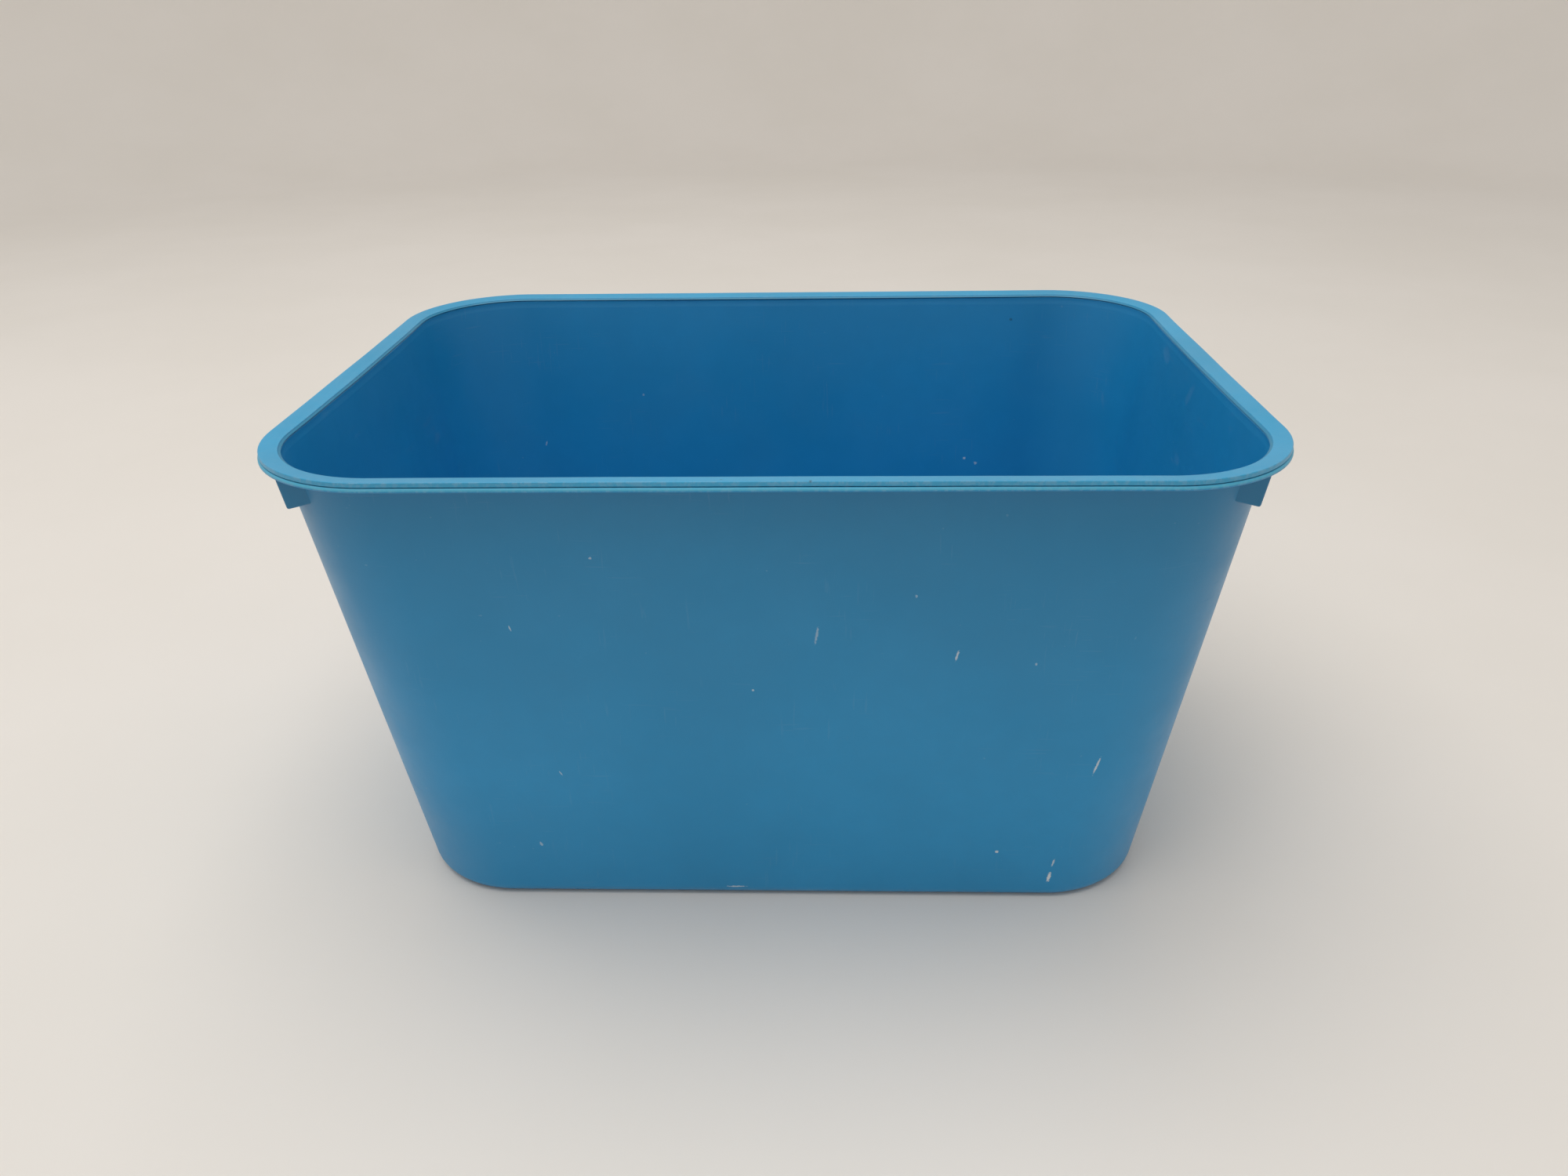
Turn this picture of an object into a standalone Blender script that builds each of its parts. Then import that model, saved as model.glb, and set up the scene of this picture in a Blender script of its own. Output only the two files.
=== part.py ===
"""An open rectangular wastebasket: a tapered tub with a flange round its mouth, and a loose ring on top.

The origin is the middle of the face that it stands on. X runs along the long side, Y along the short
side and Z up. All sizes are in metres.
"""

import math

import bmesh
import bpy
from mathutils import Vector

# Overall size, and the plan of the rim
OVERALL_LENGTH = 0.420
OVERALL_WIDTH = 0.300
OVERALL_HEIGHT = 0.230
RIM_CORNER_RADIUS = 0.0585

# Tub wall
BASE_LENGTH = 0.356
BASE_WIDTH = 0.226
WALL = 0.002
FLOOR = 0.003
BASE_EDGE_RADIUS = 0.007
PAD_INSET = 0.0032
FOOT_WIDTH = 0.012
FOOT_HEIGHT = 0.001

# Flange at the mouth of the tub, and the way the wall turns out into it
FLANGE_OVERHANG = 0.0093
FLANGE_THICKNESS = 0.0017
COVE_RADIUS = 0.0044
COVE_OVERLAP = 0.0002
MOUTH_SETBACK = 0.0002
MOUTH_FLARE_DEPTH = 0.0077

# Loose ring that holds a bag's edge down on the flange
RING_THICKNESS = 0.002
RING_SETBACK = 0.0002
RING_EDGE_RADIUS = 0.0005
GAP = 0.0003

# Square stacking lug under each corner of the flange, with a socket for a peg of the ring
LUG_HEIGHT = 0.0155
LUG_REACH = 0.008
LUG_EDGE_RADIUS = 0.0008
LUG_ROOT_SHARE = 0.65  # how far through the wall's thickness a lug is rooted
PEG_RADIUS = 0.0013
PEG_LENGTH = 0.0055
PEG_FROM_RING_EDGE = 0.0006

# Facets
CORNER_STEPS = 12
EDGE_STEPS = 4
PEG_SIDES = 16

# Worked out from the sizes above
HALF_LENGTH = OVERALL_LENGTH / 2
HALF_WIDTH = OVERALL_WIDTH / 2
FLANGE_TOP = OVERALL_HEIGHT - RING_THICKNESS - GAP
FLANGE_BOTTOM = FLANGE_TOP - FLANGE_THICKNESS
WALL_CORNER_RADIUS = RIM_CORNER_RADIUS - FLANGE_OVERHANG
LUG_ROOT_DEPTH = WALL * LUG_ROOT_SHARE
MOUTH_INSET = FLANGE_OVERHANG - MOUTH_SETBACK
RING_WIDTH = MOUTH_INSET - RING_SETBACK
CORNERS = ((1, 1), (-1, 1), (-1, -1), (1, -1))
CUT_MARGIN = 0.005

PARTS = "wastebasket"
CUTTERS = "cutters"
TUB_COLOUR = (0.028, 0.165, 0.345)
RING_COLOUR = (0.045, 0.225, 0.400)
SATIN_ROUGHNESS = 0.38


def clear_scene():
    for scene_object in list(bpy.data.objects):
        bpy.data.objects.remove(scene_object, do_unlink=True)


def new_collection(name):
    collection = bpy.data.collections.new(name)
    bpy.context.scene.collection.children.link(collection)
    return collection


def plastic(name, colour):
    material = bpy.data.materials.new(name)
    material.use_nodes = True
    shader = material.node_tree.nodes["Principled BSDF"]
    shader.inputs["Base Color"].default_value = (*colour, 1.0)
    shader.inputs["Roughness"].default_value = SATIN_ROUGHNESS
    shader.inputs["Metallic"].default_value = 0.0
    return material


def rim_section(inset, height):
    """A rounded rectangle that lies inset from the rim's outer edge all round."""
    return HALF_LENGTH - inset, HALF_WIDTH - inset, RIM_CORNER_RADIUS - inset, height


def wall_section(inset, height):
    """The tapered wall's outer outline at a height, moved in by inset."""
    rise = height / FLANGE_BOTTOM
    half_length = BASE_LENGTH / 2 + (HALF_LENGTH - FLANGE_OVERHANG - BASE_LENGTH / 2) * rise
    half_width = BASE_WIDTH / 2 + (HALF_WIDTH - FLANGE_OVERHANG - BASE_WIDTH / 2) * rise
    return half_length - inset, half_width - inset, WALL_CORNER_RADIUS - inset, height


def outline(half_length, half_width, radius, height):
    points = []
    for quarter, (side_x, side_y) in enumerate(CORNERS):
        for step in range(CORNER_STEPS + 1):
            angle = (quarter + step / CORNER_STEPS) * math.pi / 2
            x = side_x * (half_length - radius) + radius * math.cos(angle)
            y = side_y * (half_width - radius) + radius * math.sin(angle)
            points.append(Vector((x, y, height)))
    return points


def skin(mesh, lower, upper):
    for index in range(len(lower)):
        following = (index + 1) % len(lower)
        mesh.faces.new((lower[index], lower[following], upper[following], upper[index]))


def mesh_object(name, mesh, collection):
    data = bpy.data.meshes.new(name)
    mesh.to_mesh(data)
    mesh.free()
    made = bpy.data.objects.new(name, data)
    collection.objects.link(made)
    if collection.name == CUTTERS:
        made.hide_render = True
        made.display_type = "WIRE"
    return made


def loft(name, sections, collection, ends="closed"):
    """A skin through rounded rectangles. Its ends are closed, open_top, or joined to make a ring."""
    mesh = bmesh.new()
    levels = []
    for section in sections:
        levels.append([mesh.verts.new(point) for point in outline(*section)])
    for lower, upper in zip(levels, levels[1:]):
        skin(mesh, lower, upper)
    if ends == "joined":
        skin(mesh, levels[-1], levels[0])
    else:
        mesh.faces.new(reversed(levels[0]))
        if ends == "closed":
            mesh.faces.new(levels[-1])
    bmesh.ops.recalc_face_normals(mesh, faces=mesh.faces)
    return mesh_object(name, mesh, collection)


def combine(target, operation, other):
    modifier = target.modifiers.new(f"{operation.lower()} {other.name}", "BOOLEAN")
    modifier.operation = operation
    modifier.solver = "EXACT"
    modifier.object = other


def bevel_edges(target, width, steps):
    modifier = target.modifiers.new("rounded edges", "BEVEL")
    modifier.width = width
    modifier.segments = steps
    modifier.limit_method = "ANGLE"
    modifier.angle_limit = math.radians(40.0)


def corner_arc_centre(side_x, side_y, height):
    """The centre of the wall's corner arc at a height. At the flange the rim's arc has the same centre."""
    half_length, half_width, radius, _ = wall_section(0.0, height)
    return Vector((side_x * (half_length - radius), side_y * (half_width - radius), height))


def peg_place(side_x, side_y):
    """A peg stands on the corner's diagonal, near the ring's inner edge."""
    outward = Vector((side_x, side_y, 0.0)).normalized()
    from_centre = RIM_CORNER_RADIUS - RING_WIDTH + PEG_FROM_RING_EDGE + PEG_RADIUS
    return corner_arc_centre(side_x, side_y, FLANGE_BOTTOM) + outward * from_centre


def cylinder(name, radius, low, high, place, collection):
    mesh = bmesh.new()
    bmesh.ops.create_cone(
        mesh, cap_ends=True, segments=PEG_SIDES, radius1=radius, radius2=radius, depth=high - low
    )
    made = mesh_object(name, mesh, collection)
    made.location = (place.x, place.y, (low + high) / 2)
    return made


def lug(name, side_x, side_y, collection):
    """A square-cornered block on the corner's diagonal. It leans like the wall and is rooted in it."""
    top = FLANGE_BOTTOM + FLANGE_THICKNESS / 2
    bottom = FLANGE_BOTTOM - LUG_HEIGHT
    root_radius = WALL_CORNER_RADIUS - LUG_ROOT_DEPTH
    outer = (WALL_CORNER_RADIUS + LUG_REACH) / math.sqrt(2)
    beside = math.sqrt(root_radius**2 - outer**2)
    root = root_radius / math.sqrt(2)
    plan = {
        (1, 1): (outer, outer),
        (-1, 1): (beside, outer),
        (1, -1): (outer, beside),
        (-1, -1): (root, root),
    }
    mesh = bmesh.new()
    bmesh.ops.create_cube(mesh, size=2.0)
    exposed_edges = []
    for edge in mesh.edges:
        middle = (edge.verts[0].co + edge.verts[1].co) / 2
        if middle.x * side_x >= 0 and middle.y * side_y >= 0 and middle.z <= 0:
            exposed_edges.append(edge)
    for vert in mesh.verts:
        along_x, along_y = plan[round(vert.co.x * side_x), round(vert.co.y * side_y)]
        height = bottom if vert.co.z < 0 else top
        from_centre = Vector((side_x * along_x, side_y * along_y, 0.0))
        vert.co = corner_arc_centre(side_x, side_y, height) + from_centre
    bmesh.ops.bevel(
        mesh, geom=exposed_edges, offset=LUG_EDGE_RADIUS, segments=2, profile=0.5, affect="EDGES"
    )
    return mesh_object(name, mesh, collection)


def make_tub(parts, cutters, colour):
    """The moulded tub: wall and floor, flange, coved collar under it, and a lug at each corner."""
    sections = [wall_section(0.0, 0.0), wall_section(0.0, FLANGE_TOP + CUT_MARGIN)]
    tub = loft("tub", sections, parts, ends="open_top")
    tub.data.materials.append(colour)
    round_base_edge(tub)
    shell = tub.modifiers.new("wall thickness", "SOLIDIFY")
    shell.thickness = WALL
    shell.offset = -1.0
    shell.use_even_offset = True

    pad_sections = [wall_section(BASE_EDGE_RADIUS, WALL / 2), wall_section(PAD_INSET, FLOOR)]
    combine(tub, "UNION", loft("floor_pad", pad_sections, cutters))

    recess_sections = [wall_section(FOOT_WIDTH, -CUT_MARGIN), wall_section(FOOT_WIDTH, FOOT_HEIGHT)]
    combine(tub, "DIFFERENCE", loft("base_recess", recess_sections, cutters))

    combine(tub, "UNION", flange_with_lugs(cutters))
    combine(tub, "DIFFERENCE", mouth_cutter(cutters))
    for index, corner in enumerate(CORNERS, start=1):
        socket_bottom = FLANGE_TOP - PEG_LENGTH
        place = peg_place(*corner)
        top = FLANGE_TOP + CUT_MARGIN
        socket = cylinder(f"peg_socket_{index}", PEG_RADIUS + GAP, socket_bottom, top, place, cutters)
        combine(tub, "DIFFERENCE", socket)
    return tub


def round_base_edge(tub):
    mesh = bmesh.new()
    mesh.from_mesh(tub.data)
    base_edges = [edge for edge in mesh.edges if all(vert.co.z == 0.0 for vert in edge.verts)]
    bmesh.ops.bevel(
        mesh, geom=base_edges, offset=BASE_EDGE_RADIUS, segments=EDGE_STEPS, profile=0.5, affect="EDGES"
    )
    mesh.to_mesh(tub.data)
    mesh.free()


def flange_with_lugs(collection):
    """The flange with the cove under it, as one ring whose inner side is in mid-wall, and its lugs."""
    sections = [wall_section(WALL / 2, FLANGE_BOTTOM - COVE_RADIUS)]
    for step in range(EDGE_STEPS + 1):
        angle = step / EDGE_STEPS * math.pi / 2
        inset = COVE_OVERLAP - COVE_RADIUS * (1 - math.cos(angle))
        height = FLANGE_BOTTOM - COVE_RADIUS * (1 - math.sin(angle))
        sections.append(wall_section(inset, height))
    sections.append(rim_section(0.0, FLANGE_BOTTOM))
    sections.append(rim_section(0.0, FLANGE_TOP + CUT_MARGIN))
    sections.append(wall_section(WALL / 2, FLANGE_TOP + CUT_MARGIN))
    made = loft("flange", sections, collection, ends="joined")
    for index, (side_x, side_y) in enumerate(CORNERS, start=1):
        combine(made, "UNION", lug(f"lug_{index}", side_x, side_y, collection))
    return made


def mouth_cutter(collection):
    """Cuts the tub level at the top of its flange, and flares the last stretch of its inner face.

    Its lower end lies as far inside the wall's inner face as its mouth lies outside it.
    """
    flare = MOUTH_SETBACK + WALL
    sections = [
        wall_section(WALL + flare, FLANGE_TOP - 2 * MOUTH_FLARE_DEPTH),
        rim_section(MOUTH_INSET, FLANGE_TOP),
        rim_section(-CUT_MARGIN, FLANGE_TOP),
        rim_section(-CUT_MARGIN, FLANGE_TOP + 2 * CUT_MARGIN),
    ]
    return loft("mouth_cutter", sections, collection)


def make_rim_ring(parts, cutters, colour):
    """The loose ring: a flat frame with a peg under each corner."""
    low = FLANGE_TOP + GAP
    sections = [
        rim_section(0.0, low),
        rim_section(0.0, OVERALL_HEIGHT),
        rim_section(RING_WIDTH, OVERALL_HEIGHT),
        rim_section(RING_WIDTH, low),
    ]
    ring = loft("rim_ring", sections, parts, ends="joined")
    ring.data.materials.append(colour)
    bevel_edges(ring, RING_EDGE_RADIUS, 2)
    peg_bottom = FLANGE_TOP - PEG_LENGTH + GAP
    for index, corner in enumerate(CORNERS, start=1):
        top = low + RING_THICKNESS / 2
        peg = cylinder(f"peg_{index}", PEG_RADIUS, peg_bottom, top, peg_place(*corner), cutters)
        combine(ring, "UNION", peg)
    return ring


def shade_smooth(made):
    made.data.shade_smooth()
    made.data.set_sharp_from_angle(angle=math.radians(30.0))


def main():
    clear_scene()
    parts = new_collection(PARTS)
    cutters = new_collection(CUTTERS)
    tub = make_tub(parts, cutters, plastic("tub_blue", TUB_COLOUR))
    ring = make_rim_ring(parts, cutters, plastic("ring_blue", RING_COLOUR))
    shade_smooth(tub)
    shade_smooth(ring)


main()
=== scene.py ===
"""The looks of the wastebasket: moulded tub, corner lugs and loose ring in satin blue plastic."""

import math

import bmesh
import bpy
from mathutils import Matrix, Vector, noise


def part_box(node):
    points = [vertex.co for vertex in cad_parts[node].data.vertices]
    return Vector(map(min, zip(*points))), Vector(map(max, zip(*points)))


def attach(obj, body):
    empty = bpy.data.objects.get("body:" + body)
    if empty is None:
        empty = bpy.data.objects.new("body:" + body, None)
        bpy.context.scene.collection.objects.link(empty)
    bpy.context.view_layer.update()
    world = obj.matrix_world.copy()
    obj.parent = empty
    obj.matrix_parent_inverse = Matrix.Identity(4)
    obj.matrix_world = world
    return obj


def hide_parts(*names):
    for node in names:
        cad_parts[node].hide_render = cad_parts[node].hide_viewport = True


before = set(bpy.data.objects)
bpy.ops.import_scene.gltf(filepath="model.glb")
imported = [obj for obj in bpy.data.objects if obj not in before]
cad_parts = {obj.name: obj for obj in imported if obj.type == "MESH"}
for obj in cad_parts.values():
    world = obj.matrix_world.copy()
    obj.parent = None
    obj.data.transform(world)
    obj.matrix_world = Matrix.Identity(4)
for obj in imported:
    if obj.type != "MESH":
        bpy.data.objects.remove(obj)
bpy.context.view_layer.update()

tub_low, tub_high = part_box("tub")
ring_low, ring_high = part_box("rim_ring")

# Sizes of the visual model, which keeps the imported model's outer box
MM = 0.001
HALF_LENGTH = tub_high.x
HALF_WIDTH = tub_high.y
TOP = ring_high.z - 0.01 * MM
FLANGE_TOP = tub_high.z
FLANGE_THICKNESS = 1.7 * MM
FLANGE_BOTTOM = FLANGE_TOP - FLANGE_THICKNESS
OVERHANG = 8.4 * MM
RIM_CORNER_RADIUS = 58.5 * MM
WALL_CORNER_RADIUS = RIM_CORNER_RADIUS - OVERHANG
BASE_HALF_LENGTH = 178.9 * MM
BASE_HALF_WIDTH = 113.9 * MM
WALL = 0.7 * MM
FLOOR = 3.0 * MM
BASE_EDGE_RADIUS = 5.5 * MM
FOOT_WIDTH = 12.0 * MM
FOOT_HEIGHT = 1.0 * MM
COVE_RADIUS = 4.4 * MM
MOUTH_INSET = 8.85 * MM
MOUTH_FLARE_DEPTH = 4.0 * MM
RING_GAP = 0.3 * MM
RING_LOW = FLANGE_TOP + RING_GAP
RING_INSET = 8.1 * MM
RING_FOOT_INSET = 9.0 * MM
NARROW_FULL = 8.1 * MM
NARROW_DEPTH = 60.0 * MM
NARROW_REACH = 11.0 * MM
LUG_HEIGHT = 15.5 * MM
LUG_REACH = 7.1 * MM
LUG_TOP_OVERLAP = 0.8 * MM
LUG_ROOT_DEPTH = 0.1 * MM
LUG_EDGE_RADIUS = 1.1 * MM
LUG_UNDERSIDE_RISE = 0.25
PEG_RADIUS = 1.3 * MM
PEG_LENGTH = 5.2 * MM
PEG_FROM_CENTRE = 52.5 * MM
SOCKET_DEPTH = 5.5 * MM

# How the painted shade under the rim and the waviness are laid out
UNDER_RIM_SHADE_DEPTH = 170.0 * MM
RIPPLES_PER_METRE = 22.0

# Density of the meshes
CORNER_STEPS = 26
LONG_STEPS = 40
SHORT_STEPS = 24
FILLET_STEPS = 6
WALL_STEPS = 30
FLARE_STEPS = 12
DISH_STEPS = 8
PEG_SIDES = 32

CORNERS = ((1, 1), (-1, 1), (-1, -1), (1, -1))
CORNER_NAMES = ("back_right", "back_left", "front_left", "front_right")


# --- Shape -------------------------------------------------------------------------------------

def rim_section(inset, height):
    """A rounded rectangle, inset from the rim's outer edge: half length, half width, radius, height."""
    return HALF_LENGTH - inset, HALF_WIDTH - inset, RIM_CORNER_RADIUS - inset, height


def wall_section(inset, height):
    """The tapered wall's outer outline at a height, moved in by inset."""
    rise = height / FLANGE_BOTTOM
    half_length = BASE_HALF_LENGTH + (HALF_LENGTH - OVERHANG - BASE_HALF_LENGTH) * rise
    half_width = BASE_HALF_WIDTH + (HALF_WIDTH - OVERHANG - BASE_HALF_WIDTH) * rise
    return half_length - inset, half_width - inset, WALL_CORNER_RADIUS - inset, height


def between(first, second, share):
    return tuple(a + (b - a) * share for a, b in zip(first, second))


def smooth(share):
    return share * share * (3.0 - 2.0 * share)


def outline(half_length, half_width, radius, height):
    """Points round one level, with the corners and the straight sides divided."""
    points = []
    for quarter, (side_x, side_y) in enumerate(CORNERS):
        for step in range(CORNER_STEPS + 1):
            angle = (quarter + step / CORNER_STEPS) * math.pi / 2
            x = side_x * (half_length - radius) + radius * math.cos(angle)
            y = side_y * (half_width - radius) + radius * math.sin(angle)
            points.append(Vector((x, y, height)))
        next_x, next_y = CORNERS[(quarter + 1) % 4]
        angle = (quarter + 1) * math.pi / 2
        end_x = next_x * (half_length - radius) + radius * math.cos(angle)
        end_y = next_y * (half_width - radius) + radius * math.sin(angle)
        start = points[-1]
        end = Vector((end_x, end_y, height))
        steps = LONG_STEPS if side_x != next_x else SHORT_STEPS
        for step in range(1, steps):
            points.append(start.lerp(end, step / steps))
    return points


def arc(centre_inset, centre_height, radius, start, end, steps=FILLET_STEPS):
    """(inset, height) along an arc. Angle 0 points outwards and 90 degrees points up."""
    found = []
    for step in range(steps + 1):
        angle = math.radians(start + (end - start) * step / steps)
        found.append((centre_inset - radius * math.cos(angle), centre_height + radius * math.sin(angle)))
    return found


def loft(name, levels, closed_ends):
    """A skin through the levels, with its ends filled or joined. Each level is a section and a value of wear
    and painted light: positive for edge wear, above 1 also a painted highlight, negative for painted shade."""
    mesh = bmesh.new()
    wear_and_painted_light = mesh.verts.layers.float.new("wear_and_painted_light")
    rings = []
    for section, wear_or_painted_light in levels:
        ring = []
        for point in outline(*section):
            vert = mesh.verts.new(point)
            vert[wear_and_painted_light] = wear_or_painted_light
            ring.append(vert)
        rings.append(ring)
    pairs = list(zip(rings, rings[1:]))
    if not closed_ends:
        pairs.append((rings[-1], rings[0]))
    for lower, upper in pairs:
        for index in range(len(lower)):
            following = (index + 1) % len(lower)
            mesh.faces.new((lower[index], lower[following], upper[following], upper[index]))
    if closed_ends:
        mesh.faces.new(reversed(rings[0]))
        mesh.faces.new(rings[-1])
    bmesh.ops.recalc_face_normals(mesh, faces=mesh.faces)
    return finished(name, mesh)


def finished(name, mesh):
    data = bpy.data.meshes.new(name)
    mesh.to_mesh(data)
    mesh.free()
    data.shade_smooth()
    made = bpy.data.objects.new(name, data)
    bpy.context.scene.collection.objects.link(made)
    return made


def weighted_normals(made):
    modifier = made.modifiers.new("weighted normals", "WEIGHTED_NORMAL")
    modifier.mode = "FACE_AREA"
    modifier.weight = 60
    modifier.keep_sharp = True


def painted_shade_under_rim(height):
    """How much painted shade the outer wall gets at this height: 1 just under the rim, fading downwards."""
    return max(0.0, 1.0 - (FLANGE_BOTTOM - height) / UNDER_RIM_SHADE_DEPTH) ** 1.7


def tub_levels():
    """The tub's skin from the middle of its underside, up the outside, over the flange and down inside."""
    levels = []
    small = 0.3 * MM
    for inset, height in arc(FOOT_WIDTH + small, FOOT_HEIGHT - small, small, 90, 0, 2):
        levels.append((wall_section(inset, height), 0.0))
    for inset, height in arc(FOOT_WIDTH - small, small, small, 180, 270, 3):
        levels.append((wall_section(inset, height), 0.6))
    levels.append((wall_section(BASE_EDGE_RADIUS + 0.4 * MM, 0.0), 0.7))
    for inset, height in arc(BASE_EDGE_RADIUS, BASE_EDGE_RADIUS, BASE_EDGE_RADIUS, -90, 0, 10):
        levels.append((wall_section(inset, height), 0.8 * (1.0 - smooth(height / BASE_EDGE_RADIUS))))
    cove_low = FLANGE_BOTTOM - COVE_RADIUS
    start = BASE_EDGE_RADIUS + 0.6 * MM
    # The straight wall, darkened near its top by painted shade under the rim's overhang.
    for step in range(WALL_STEPS + 1):
        height = start + (cove_low - 0.4 * MM - start) * step / WALL_STEPS
        levels.append((wall_section(0.0, height), -painted_shade_under_rim(height)))
    # The cove under the flange, in full painted shade.
    for inset, height in arc(-COVE_RADIUS, cove_low, COVE_RADIUS, 180, 90, 8):
        levels.append((wall_section(inset, height), -1.0))
    lower = 0.4 * MM
    upper = 0.9 * MM
    levels.append((rim_section(lower + 1.2 * MM, FLANGE_BOTTOM), 0.0))
    for inset, height in arc(lower, FLANGE_BOTTOM + lower, lower, -90, 0, 4):
        levels.append((rim_section(inset, height), 0.5))
    # The flange's upper edge: pale edge wear, and a painted highlight on the lip where the value passes 1.
    for inset, height in arc(upper, FLANGE_TOP - upper, upper, 0, 90, 6):
        levels.append((rim_section(inset, height), 1.8))
    levels.append((rim_section(1.6 * MM, FLANGE_TOP), 1.0))
    levels.append((rim_section(4.6 * MM, FLANGE_TOP), 0.0))
    levels.append((rim_section(MOUTH_INSET - 0.35 * MM, FLANGE_TOP), 0.0))
    flare_low = FLANGE_TOP - MOUTH_FLARE_DEPTH
    bevel = 0.35 * MM
    for step in range(FLARE_STEPS + 1):
        share = step / FLARE_STEPS
        height = FLANGE_TOP - bevel - (MOUTH_FLARE_DEPTH - bevel) * share
        eased = 1.0 - (1.0 - share) ** 1.5
        section = between(rim_section(MOUTH_INSET, height), wall_section(WALL, height), eased)
        levels.append((section, 0.0))
    inner_radius = BASE_EDGE_RADIUS - WALL
    for step in range(1, WALL_STEPS + 1):
        height = flare_low + (FLOOR + inner_radius + 0.6 * MM - flare_low) * step / WALL_STEPS
        levels.append((wall_section(WALL, height), 0.0))
    for inset, height in arc(WALL + inner_radius, FLOOR + inner_radius, inner_radius, 0, -90, 8):
        levels.append((wall_section(inset, height), 0.0))
    levels.append((wall_section(WALL + inner_radius + 0.6 * MM, FLOOR), 0.0))
    levels.append((wall_section(WALL + inner_radius + 20 * MM, FLOOR), 0.0))
    return levels


def ring_levels():
    """The ring's skin: outer edge, dished top, crisp inner edge, and underside."""
    levels = []
    bottom = 0.25 * MM
    outer = 0.4 * MM
    inner = 0.45 * MM
    dish = 0.85 * MM
    edge = 0.55 * MM
    for inset, height in arc(edge + bottom, RING_LOW + bottom, bottom, -90, 0, 3):
        levels.append((rim_section(inset, height), 0.4))
    for inset, height in arc(edge + outer, TOP - outer, outer, 0, 90, 6):
        levels.append((rim_section(inset, height), 0.7))
    top_start = edge + outer + 0.2 * MM
    top_end = RING_INSET - inner - 0.2 * MM
    for step in range(DISH_STEPS + 1):
        share = step / DISH_STEPS
        inset = top_start + (top_end - top_start) * share
        levels.append((rim_section(inset, TOP - dish * share ** 1.25), 0.1))
    for inset, height in arc(RING_INSET - inner - 0.05 * MM, TOP - dish - inner, inner, 90, 180, 6):
        levels.append((rim_section(inset, height), 0.4))
    # The ring's inner slope and underside edge, darkened by painted shade to the inner wall's tone.
    levels.append((rim_section(RING_INSET, RING_LOW + 0.55 * MM), -1.1))
    levels.append((rim_section(RING_FOOT_INSET, RING_LOW + 0.12 * MM), -1.1))
    levels.append((rim_section(RING_FOOT_INSET - 0.1 * MM, RING_LOW), -1.1))
    levels.append((rim_section(4.5 * MM, RING_LOW), 0.0))
    return levels


def rim_bow(point):
    """How far a straight side's middle lies in from the CAD line, 0 at the corners and 1 at mid-side."""
    along_x = max(0.0, 1.0 - (point.x / (HALF_LENGTH - RIM_CORNER_RADIUS)) ** 2)
    along_y = max(0.0, 1.0 - (point.y / (HALF_WIDTH - RIM_CORNER_RADIUS)) ** 2)
    return along_x, along_y


def settle(made, long_bow, short_bow, narrow, narrow_from, wave, seed):
    """Bows the sides inwards and adds waviness. The short sides are narrowed from an inset inwards."""
    offset = Vector((seed, 0.0, 0.0))
    for vert in made.data.vertices:
        point = vert.co
        along_x, along_y = rim_bow(point)
        high = smooth(min(1.0, max(0.0, point.z / FLANGE_BOTTOM)))
        ripple = noise.noise(Vector((point.x, point.y, 0.0)) * RIPPLES_PER_METRE + offset)
        inward_y = (long_bow * along_x + wave * (0.5 + ripple) * min(1.0, 4.0 * along_x)) * high
        inward_x = (short_bow * along_y + wave * (0.5 + ripple) * min(1.0, 4.0 * along_y)) * high
        share_y = smooth(min(1.0, abs(point.y) / (HALF_WIDTH - OVERHANG - 4.0 * MM)))
        share_x = smooth(min(1.0, abs(point.x) / (HALF_LENGTH - OVERHANG - 4.0 * MM)))
        taper = HALF_LENGTH - OVERHANG - wall_section(0.0, min(point.z, FLANGE_BOTTOM))[0]
        inset = HALF_LENGTH - taper - abs(point.x)
        inner_edge = smooth(min(1.0, max(0.0, inset - narrow_from) / (NARROW_FULL - narrow_from)))
        near_rim = smooth(min(1.0, max(0.0, point.z - FLANGE_TOP + NARROW_DEPTH) / NARROW_DEPTH))
        outward_x = narrow * along_y * inner_edge * near_rim if inset < NARROW_REACH else 0.0
        point.y -= math.copysign(max(0.0, inward_y) * share_y, point.y)
        point.x -= math.copysign(max(0.0, inward_x) * share_x - outward_x, point.x)


def corner_centre(side_x, side_y, height):
    half_length, half_width, radius, _ = wall_section(0.0, height)
    return Vector((side_x * (half_length - radius), side_y * (half_width - radius), height))


def peg_place(side_x, side_y):
    outward = Vector((side_x, side_y, 0.0)).normalized()
    return corner_centre(side_x, side_y, FLANGE_BOTTOM) + outward * PEG_FROM_CENTRE


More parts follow.
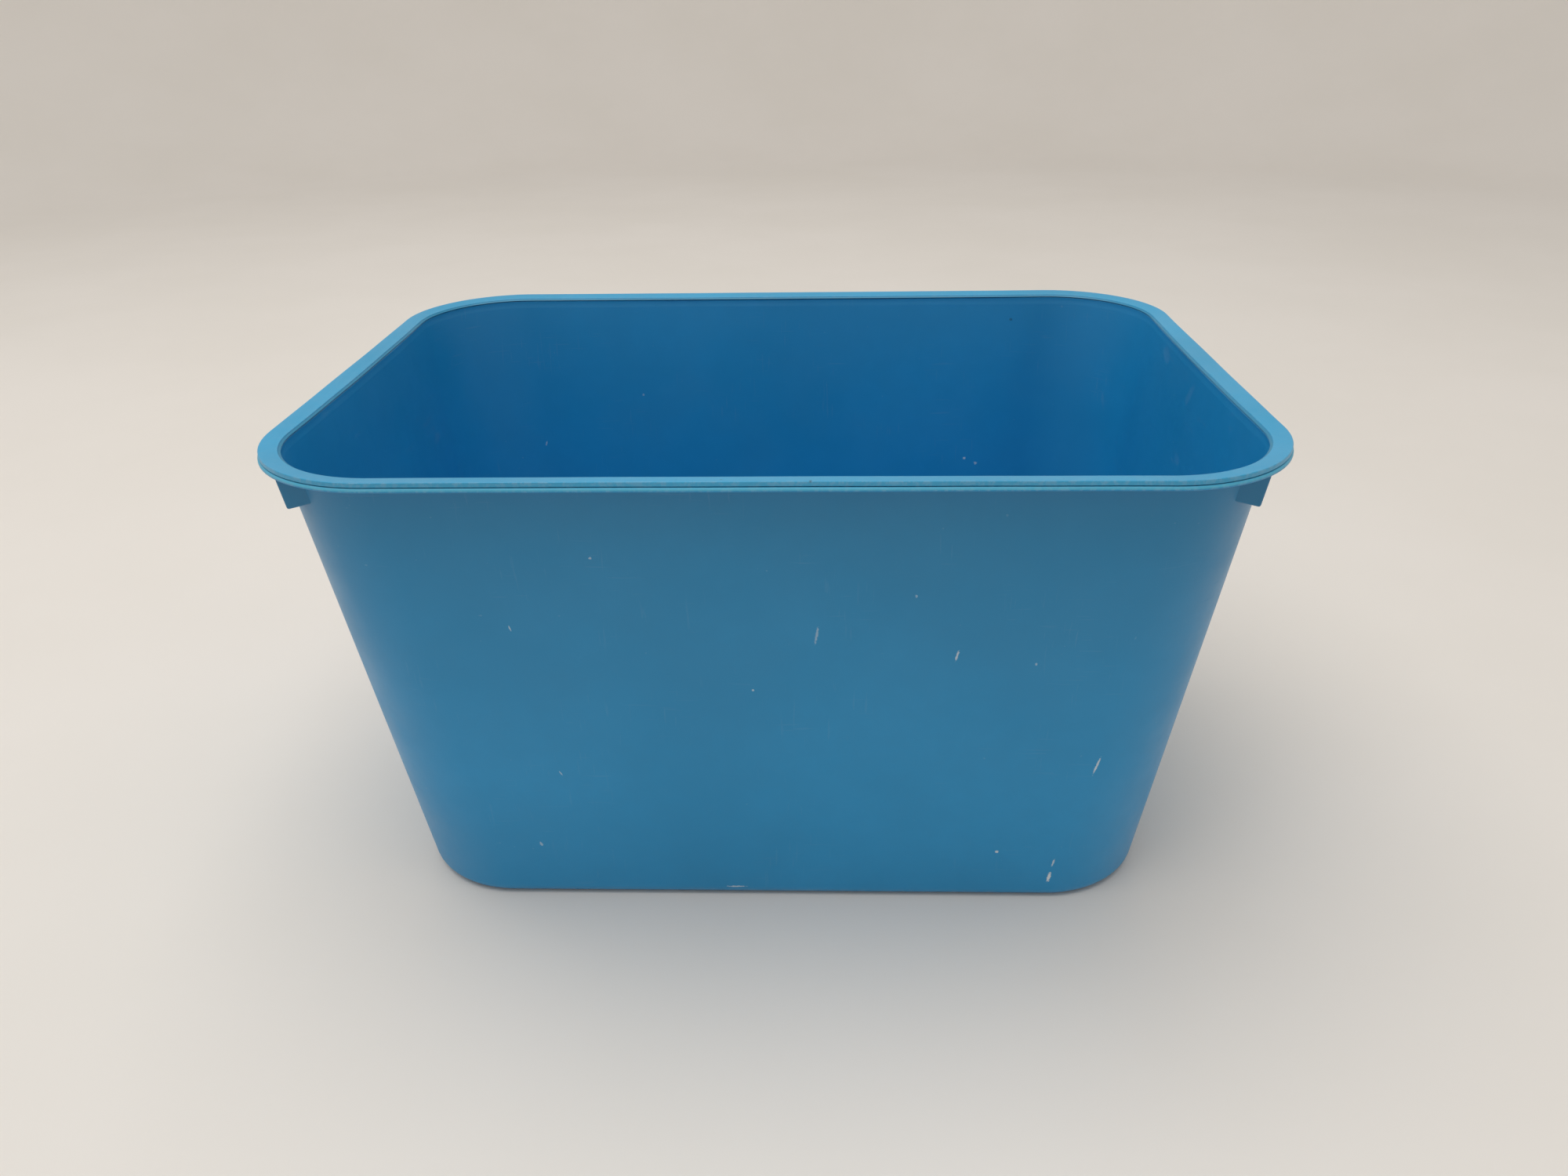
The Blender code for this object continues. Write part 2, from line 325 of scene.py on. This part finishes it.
def make_lug(name, side_x, side_y):
    """A square-cornered block under the flange. Its root is inside the wall, and it leans like the wall."""
    root_radius = WALL_CORNER_RADIUS - LUG_ROOT_DEPTH
    outer = (WALL_CORNER_RADIUS + LUG_REACH) / math.sqrt(2)
    beside = math.sqrt(root_radius**2 - outer**2)
    root = root_radius / math.sqrt(2)
    plan = {
        (1, 1): (outer, outer),
        (-1, 1): (beside, outer),
        (1, -1): (outer, beside),
        (-1, -1): (root, root),
    }
    mesh = bmesh.new()
    wear_and_painted_light = mesh.verts.layers.float.new("wear_and_painted_light")
    bmesh.ops.create_cube(mesh, size=2.0)
    exposed = []
    for edge in mesh.edges:
        middle = (edge.verts[0].co + edge.verts[1].co) / 2
        if middle.x * side_x >= 0 and middle.y * side_y >= 0 and middle.z <= 0:
            exposed.append(edge)
    for vert in mesh.verts:
        along_x, along_y = plan[round(vert.co.x * side_x), round(vert.co.y * side_y)]
        height = FLANGE_BOTTOM + LUG_TOP_OVERLAP
        if vert.co.z < 0:
            inwards = 2 * outer - along_x - along_y
            height = FLANGE_BOTTOM - LUG_HEIGHT + LUG_UNDERSIDE_RISE * inwards
        from_centre = Vector((side_x * along_x, side_y * along_y, 0.0))
        vert.co = corner_centre(side_x, side_y, height) + from_centre
        # Painted shade: the whole lug is darkened as if it lay in the flange's shadow.
        vert[wear_and_painted_light] = -1.4
    bmesh.ops.bevel(mesh, geom=exposed, offset=LUG_EDGE_RADIUS, segments=4, profile=0.5, affect="EDGES")
    bmesh.ops.recalc_face_normals(mesh, faces=mesh.faces)
    return finished(name, mesh)


def make_peg(name, side_x, side_y):
    """A round peg with a chamfered tip under the ring."""
    place = peg_place(side_x, side_y)
    profile = (
        (0.0, RING_LOW + 0.6 * MM),
        (PEG_RADIUS, RING_LOW + 0.6 * MM),
        (PEG_RADIUS, RING_LOW - 0.4 * MM),
        (PEG_RADIUS, RING_LOW - PEG_LENGTH + 0.5 * MM),
        (PEG_RADIUS - 0.12 * MM, RING_LOW - PEG_LENGTH + 0.2 * MM),
        (PEG_RADIUS - 0.4 * MM, RING_LOW - PEG_LENGTH),
        (0.0, RING_LOW - PEG_LENGTH),
    )
    mesh = bmesh.new()
    mesh.verts.layers.float.new("wear_and_painted_light")
    first = mesh.verts.new((place.x, place.y, profile[0][1]))
    last = mesh.verts.new((place.x, place.y, profile[-1][1]))
    rings = []
    for radius, height in profile[1:-1]:
        ring = []
        for side in range(PEG_SIDES):
            angle = 2 * math.pi * side / PEG_SIDES
            x = place.x + radius * math.cos(angle)
            y = place.y + radius * math.sin(angle)
            ring.append(mesh.verts.new((x, y, height)))
        rings.append(ring)
    for side in range(PEG_SIDES):
        following = (side + 1) % PEG_SIDES
        mesh.faces.new((first, rings[0][side], rings[0][following]))
        mesh.faces.new((last, rings[-1][following], rings[-1][side]))
        for upper, lower in zip(rings, rings[1:]):
            mesh.faces.new((upper[side], lower[side], lower[following], upper[following]))
    bmesh.ops.recalc_face_normals(mesh, faces=mesh.faces)
    made = finished(name, mesh)
    weighted_normals(made)
    return made


def cut_sockets(made, corners):
    """Cuts the peg sockets of these corners, and keeps the result as plain mesh."""
    cutters = []
    low = FLANGE_TOP - SOCKET_DEPTH
    high = FLANGE_TOP + 2.0 * MM
    radius = PEG_RADIUS + RING_GAP
    tube = {"segments": PEG_SIDES, "radius1": radius, "radius2": radius, "depth": high - low}
    for side_x, side_y in corners:
        place = peg_place(side_x, side_y)
        mesh = bmesh.new()
        bmesh.ops.create_cone(mesh, cap_ends=True, **tube)
        bmesh.ops.translate(mesh, verts=mesh.verts, vec=(place.x, place.y, (low + high) / 2))
        cutter = finished("socket_cutter", mesh)
        cutters.append(cutter)
        modifier = made.modifiers.new("socket", "BOOLEAN")
        modifier.operation = "DIFFERENCE"
        modifier.solver = "EXACT"
        modifier.object = cutter
    graph = bpy.context.evaluated_depsgraph_get()
    cut = bpy.data.meshes.new_from_object(made.evaluated_get(graph))
    made.modifiers.clear()
    made.data = cut
    cut.set_sharp_from_angle(angle=math.radians(30.0))
    for cutter in cutters:
        bpy.data.objects.remove(cutter)


# --- Material ----------------------------------------------------------------------------------

class Nodes:
    """Short calls for building one material's node tree."""

    def __init__(self, name):
        self.material = bpy.data.materials.new(name)
        self.material.use_nodes = True
        self.tree = self.material.node_tree
        self.shader = self.tree.nodes["Principled BSDF"]
        self.place = self.add("ShaderNodeTexCoord").outputs["Object"]

    def add(self, kind, **settings):
        node = self.tree.nodes.new(kind)
        for key, value in settings.items():
            setattr(node, key, value)
        return node

    def link(self, source, target):
        self.tree.links.new(source, target)

    def fill(self, socket, value):
        if isinstance(value, bpy.types.NodeSocket):
            self.link(value, socket)
        else:
            socket.default_value = value

    def math(self, operation, first, second=0.0, third=0.0, clamp=False):
        node = self.add("ShaderNodeMath", operation=operation, use_clamp=clamp)
        for socket, value in zip(node.inputs, (first, second, third)):
            self.fill(socket, value)
        return node.outputs[0]

    def noise(self, scale, detail=2.0, roughness=0.5, place=None):
        node = self.add("ShaderNodeTexNoise")
        self.link(place or self.place, node.inputs["Vector"])
        node.inputs["Scale"].default_value = scale
        node.inputs["Detail"].default_value = detail
        node.inputs["Roughness"].default_value = roughness
        return node.outputs["Fac"]

    def span(self, value, low, high, to_low=0.0, to_high=1.0):
        """Maps low..high to to_low..to_high, smoothly and clamped."""
        node = self.add("ShaderNodeMapRange", interpolation_type="SMOOTHSTEP", clamp=True)
        self.link(value, node.inputs["Value"])
        for name, number in (("From Min", low), ("From Max", high), ("To Min", to_low), ("To Max", to_high)):
            node.inputs[name].default_value = number
        return node.outputs["Result"]

    def mix(self, factor, first, second):
        node = self.add("ShaderNodeMix", data_type="RGBA")
        self.fill(node.inputs[0], factor)
        self.fill(node.inputs[6], first)
        self.fill(node.inputs[7], second)
        return node.outputs[2]

    def stretched(self, scale, rotation):
        node = self.add("ShaderNodeMapping")
        self.link(self.place, node.inputs["Vector"])
        node.inputs["Rotation"].default_value = rotation
        node.inputs["Scale"].default_value = scale
        return node.outputs["Vector"]

    def spot(self, centre, size, tilt, ragged):
        """1 inside an ellipsoid of this size, 0 outside, with a ragged edge. The tilt turns it about Y."""
        moved = self.add("ShaderNodeMapping", vector_type="TEXTURE")
        self.link(self.place, moved.inputs["Vector"])
        moved.inputs["Location"].default_value = centre
        moved.inputs["Rotation"].default_value = (0.0, tilt, 0.0)
        moved.inputs["Scale"].default_value = size
        length = self.add("ShaderNodeVectorMath", operation="LENGTH")
        self.link(moved.outputs["Vector"], length.inputs[0])
        edge = self.math("MULTIPLY_ADD", ragged, 1.1, length.outputs["Value"])
        return self.span(edge, 0.95, 1.35, 1.0, 0.0)


def colour(red, green, blue):
    return (red, green, blue, 1.0)


# White scuffs and specks on the outer front wall: x, height, half width and half height in mm, tilt in
# degrees, strength
FRONT_MARKS = (
    (77, 145, 0.8, 4.2, 12, 0.65),
    (142, 83, 0.8, 13.0, 12, 0.75),
    (129, 14, 1.3, 6.0, 6, 1.0),
    (130, 24, 0.7, 4.5, 10, 0.7),
    (103, 31, 1.2, 1.4, 0, 0.8),
    (-20, 6, 7.0, 0.6, 0, 0.8),
    (-107, 159, 0.45, 2.2, -14, 0.5),
    (-8, 127, 0.8, 0.9, 0, 0.6),
    (-96, 79, 0.45, 2.2, -28, 0.5),
    (-111, 34, 1.1, 2.2, -20, 0.45),
    (19, 155, 0.8, 9.0, 8, 0.35),
    (-70, 193, 0.9, 0.9, 0, 0.4),
    (110, 141, 0.7, 1.2, 0, 0.4),
    (59, 175, 0.8, 1.0, 0, 0.35),
)
# Marks on the inner face of the back wall
BACK_MARKS = (
    (109, 132, 1.2, 1.2, 0, 0.7),
    (116, 129, 1.6, 1.4, 0, 0.5),
    (-149, 142, 0.8, 3.0, 20, 0.45),
    (-87, 172, 1.0, 1.2, 0, 0.3),
)


# Dark specks: x, y, height and size in mm, strength
DARK_MARKS = (
    (6, -139.7, 197, 0.7, 0.8),
    (133, 140.0, 215, 1.6, 0.6),
    (110, -147.0, 229.2, 0.9, 0.8),
    (17, -148.6, 229.8, 0.8, 0.6),
    (-16, -146.0, 229.2, 1.2, 0.35),
)


def plastic(name, base, wear_gain):
    """Satin moulded polypropylene: mottled colour, fine mould grain, hairline scratches and worn edges, with
    painted shade where the vertex value is negative and a painted highlight where it passes 1.
    """
    n = Nodes(name)
    cloud = n.noise(9.0, 3.0, 0.55)
    mottle = n.noise(95.0, 3.0, 0.6)
    dark = tuple(c * 0.94 for c in base)
    light = tuple(min(1.0, c * 1.05 + 0.002) for c in base)
    body = n.mix(n.span(cloud, 0.30, 0.70), colour(*dark), colour(*light))
    speck = n.span(mottle, 0.38, 0.62)
    body = n.mix(n.math("MULTIPLY", speck, 0.14), body, colour(*tuple(c * 0.9 for c in base)))

    fibre_place = n.stretched((900.0, 60.0, 60.0), (0.2, 0.1, 0.5))
    hair_a = n.span(n.noise(1.0, 1.0, 0.4, fibre_place), 0.66, 0.72)
    fibre_place = n.stretched((55.0, 60.0, 1000.0), (0.3, 0.2, -0.4))
    hair_b = n.span(n.noise(1.0, 1.0, 0.4, fibre_place), 0.67, 0.73)
    patch = n.span(n.noise(28.0, 2.0), 0.50, 0.66)
    scratches = n.math("MULTIPLY", n.math("MAXIMUM", hair_a, hair_b), patch)

    wear_or_painted_light = n.add("ShaderNodeAttribute", attribute_name="wear_and_painted_light").outputs["Fac"]
    nibble = n.span(n.noise(420.0, 4.0, 0.65), 0.44, 0.62)
    edge = n.math("MULTIPLY", n.math("MULTIPLY", n.math("MAXIMUM", wear_or_painted_light, 0.0), nibble), wear_gain)
    # Painted shade: where the value is negative the colour is darkened towards a deep blue, under the rim,
    # in the cove, on the lugs and on the ring's inner slope.
    below_zero = n.math("MAXIMUM", n.math("MULTIPLY", wear_or_painted_light, -1.0), 0.0)
    painted_shade = n.math("MULTIPLY", below_zero, n.span(cloud, 0.2, 0.8, 0.34, 0.44))
    pale = colour(*tuple(0.55 * c + 0.28 for c in base))
    body = n.mix(painted_shade, body, colour(*tuple(c * 0.30 for c in (0.006, base[1], base[2]))))
    body = n.mix(n.math("MULTIPLY", scratches, 0.07), body, pale)
    body = n.mix(n.math("MULTIPLY", edge, 0.38), body, pale)
    # Painted highlight: where the value passes 1, on the flange's lip, the colour is mixed towards a lighter
    # blue.
    body = n.mix(n.math("SUBTRACT", wear_or_painted_light, 1.0, clamp=True), body, colour(0.085, 0.470, 0.680))
    return n, body, scratches, edge


def dark_marks(n):
    """The dark specks of the rim and walls, as one mask."""
    ragged = n.noise(1400.0, 2.0)
    found = None
    for x, y, height, size, strength in DARK_MARKS:
        spot = n.spot((x * MM, y * MM, height * MM), (size * MM, 1.6 * MM, size * MM), 0.3, ragged)
        spot = n.math("MULTIPLY", spot, strength)
        found = spot if found is None else n.math("MAXIMUM", found, spot)
    return found


def close_plastic(n, body, scratches, edge, marks=None):
    dust = n.span(n.noise(420.0, 1.0, 0.3), 0.80, 0.86)
    body = n.mix(n.math("MULTIPLY", dust, 0.12), body, colour(0.42, 0.60, 0.70))
    body = n.mix(dark_marks(n), body, colour(0.010, 0.050, 0.085))
    if marks is not None:
        body = n.mix(marks, body, colour(0.72, 0.78, 0.82))
    n.link(body, n.shader.inputs["Base Color"])
    handling = n.span(n.noise(22.0, 4.0, 0.6), 0.30, 0.72, 0.33, 0.46)
    rough = n.math("ADD", handling, n.math("MULTIPLY", scratches, 0.12))
    rough = n.math("ADD", rough, n.math("MULTIPLY", edge, 0.10))
    if marks is not None:
        rough = n.math("ADD", rough, n.math("MULTIPLY", marks, 0.15))
    n.link(rough, n.shader.inputs["Roughness"])
    n.shader.inputs["Specular IOR Level"].default_value = 0.5
    n.shader.inputs["IOR"].default_value = 1.49

    grain = n.noise(1500.0, 2.0, 0.5)
    swell = n.noise(34.0, 2.0, 0.5)
    height = n.math("MULTIPLY_ADD", swell, 0.00022, n.math("MULTIPLY", grain, 0.000010))
    height = n.math("SUBTRACT", height, n.math("MULTIPLY", scratches, 0.000012))
    bump = n.add("ShaderNodeBump")
    bump.inputs["Strength"].default_value = 0.6
    bump.inputs["Distance"].default_value = 1.0
    n.link(height, bump.inputs["Height"])
    n.link(bump.outputs["Normal"], n.shader.inputs["Normal"])
    return n.material


def all_marks(n):
    """Every mark on the outer front wall and the inner back wall, as one mask."""
    ragged = n.noise(1400.0, 2.0)
    found = None
    for marks, side, inset in ((FRONT_MARKS, -1, 0.0), (BACK_MARKS, 1, WALL)):
        for x, height, half_width, half_height, tilt, strength in marks:
            centre = (x * MM, side * wall_section(inset, height * MM)[1], height * MM)
            size = (half_width * MM, 1.0 * MM, half_height * MM)
            spot = n.math("MULTIPLY", n.spot(centre, size, math.radians(tilt), ragged), strength)
            found = spot if found is None else n.math("MAXIMUM", found, spot)
    return found


TUB_BLUE = (0.011, 0.272, 0.570)
RING_BLUE = (0.036, 0.355, 0.625)
tub_nodes = plastic("tub_plastic_blue", TUB_BLUE, 0.8)
tub_plastic = close_plastic(*tub_nodes, marks=all_marks(tub_nodes[0]))
ring_plastic = close_plastic(*plastic("ring_plastic_blue", RING_BLUE, 1.0))


# --- Pieces ------------------------------------------------------------------------------------

tub_shell = loft("tub_shell", tub_levels(), closed_ends=True)
settle(tub_shell, 0.0, 0.0, 1.2 * MM, 5.0 * MM, 0.3 * MM, 3.0)
cut_sockets(tub_shell, CORNERS)
weighted_normals(tub_shell)
tub_shell.data.materials.append(tub_plastic)
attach(tub_shell, "tub")
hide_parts("tub")

ring_top = loft("ring_top", ring_levels(), closed_ends=False)
settle(ring_top, 0.35 * MM, 0.2 * MM, 1.2 * MM, 4.0 * MM, 0.2 * MM, 11.0)
weighted_normals(ring_top)
ring_top.data.materials.append(ring_plastic)
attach(ring_top, "rim_ring")
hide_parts("rim_ring")

for corner, label in zip(CORNERS, CORNER_NAMES):
    lug = make_lug(f"lug_{label}", *corner)
    cut_sockets(lug, [corner])
    weighted_normals(lug)
    lug.data.materials.append(tub_plastic)
    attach(lug, "tub")
    peg = make_peg(f"peg_{label}", *corner)
    peg.data.materials.append(ring_plastic)
    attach(peg, "rim_ring")


# --- Studio ------------------------------------------------------------------------------------

def make_studio():
    """A pale floor that curves up into a pale wall all round. It is clear from below and under the tub."""
    flat = 2.4
    bend = 0.9
    wall_top = 2.2
    profile = [(0.0, 0.0), (0.5, 0.0), (1.0, 0.0), (flat, 0.0)]
    for step in range(1, 13):
        angle = step / 12 * math.pi / 2
        profile.append((flat + bend * math.sin(angle), bend * (1.0 - math.cos(angle))))
    profile.append((flat + bend, wall_top))
    sides = 96
    mesh = bmesh.new()
    centre = mesh.verts.new((0.0, 0.0, 0.0))
    rings = []
    for radius, height in profile[1:]:
        ring = []
        for side in range(sides):
            angle = 2 * math.pi * side / sides
            ring.append(mesh.verts.new((radius * math.cos(angle), radius * math.sin(angle), height)))
        rings.append(ring)
    for side in range(sides):
        following = (side + 1) % sides
        mesh.faces.new((centre, rings[0][side], rings[0][following]))
        for inner, outer in zip(rings, rings[1:]):
            mesh.faces.new((inner[side], outer[side], outer[following], inner[following]))
    studio = finished("studio", mesh)
    n = Nodes("studio_pale")
    cloud = n.span(n.noise(2.5, 4.0, 0.55), 0.3, 0.7)
    tint = n.mix(cloud, colour(0.835, 0.800, 0.755), colour(0.860, 0.825, 0.785))
    n.link(tint, n.shader.inputs["Base Color"])
    n.link(n.span(n.noise(6.0, 3.0), 0.3, 0.7, 0.50, 0.60), n.shader.inputs["Roughness"])
    n.shader.inputs["Specular IOR Level"].default_value = 0.20
    see_through = n.add("ShaderNodeBsdfTransparent")
    behind = n.add("ShaderNodeNewGeometry").outputs["Backfacing"]
    split = n.add("ShaderNodeSeparateXYZ")
    n.link(n.place, split.inputs[0])
    near_x = n.math("LESS_THAN", n.math("ABSOLUTE", split.outputs["X"]), BASE_HALF_LENGTH - 29.0 * MM)
    near_y = n.math("LESS_THAN", n.math("ABSOLUTE", split.outputs["Y"]), BASE_HALF_WIDTH - 29.0 * MM)
    chosen = n.add("ShaderNodeMixShader")
    n.link(n.math("MAXIMUM", behind, n.math("MULTIPLY", near_x, near_y)), chosen.inputs[0])
    n.link(n.shader.outputs[0], chosen.inputs[1])
    n.link(see_through.outputs[0], chosen.inputs[2])
    n.link(chosen.outputs[0], n.tree.nodes["Material Output"].inputs["Surface"])
    studio.data.materials.append(n.material)


def soft_light(name, place, target, width, height, power, tint):
    light = bpy.data.lights.new(name, "AREA")
    light.shape = "RECTANGLE"
    light.size = width
    light.size_y = height
    light.energy = power
    light.color = tint
    made = bpy.data.objects.new(name, light)
    made.location = place
    made.rotation_euler = (Vector(target) - Vector(place)).to_track_quat("-Z", "Y").to_euler()
    bpy.context.scene.collection.objects.link(made)


make_studio()
soft_light("key", (-0.4, -0.10, 2.6), (0.0, 0.0, 0.1), 2.8, 2.8, 51.5, (1.0, 0.980, 0.945))

world = bpy.data.worlds.new("studio")
world.use_nodes = True
world.node_tree.nodes["Background"].inputs["Color"].default_value = (1.0, 0.985, 0.970, 1.0)
world.node_tree.nodes["Background"].inputs["Strength"].default_value = 0.35
bpy.context.scene.world = world

camera_data = bpy.data.cameras.new("photo_view")
camera_data.type = "PERSP"
camera_data.sensor_width = 36.0
camera_data.lens = 26.84
camera_data.clip_start = 0.02
camera_data.clip_end = 60.0
camera = bpy.data.objects.new("photo_view", camera_data)
camera.matrix_world = (
    Matrix.Translation((0.0209, -0.5493, 0.3926))
    @ Matrix.Rotation(0.0356, 4, "Z")
    @ Matrix.Rotation(math.radians(62.7), 4, "X")
    @ Matrix.Rotation(-0.01658, 4, "Z")
)
bpy.context.scene.collection.objects.link(camera)
bpy.context.scene.camera = camera
bpy.context.scene.view_settings.view_transform = "Standard"
bpy.context.scene.view_settings.look = "None"
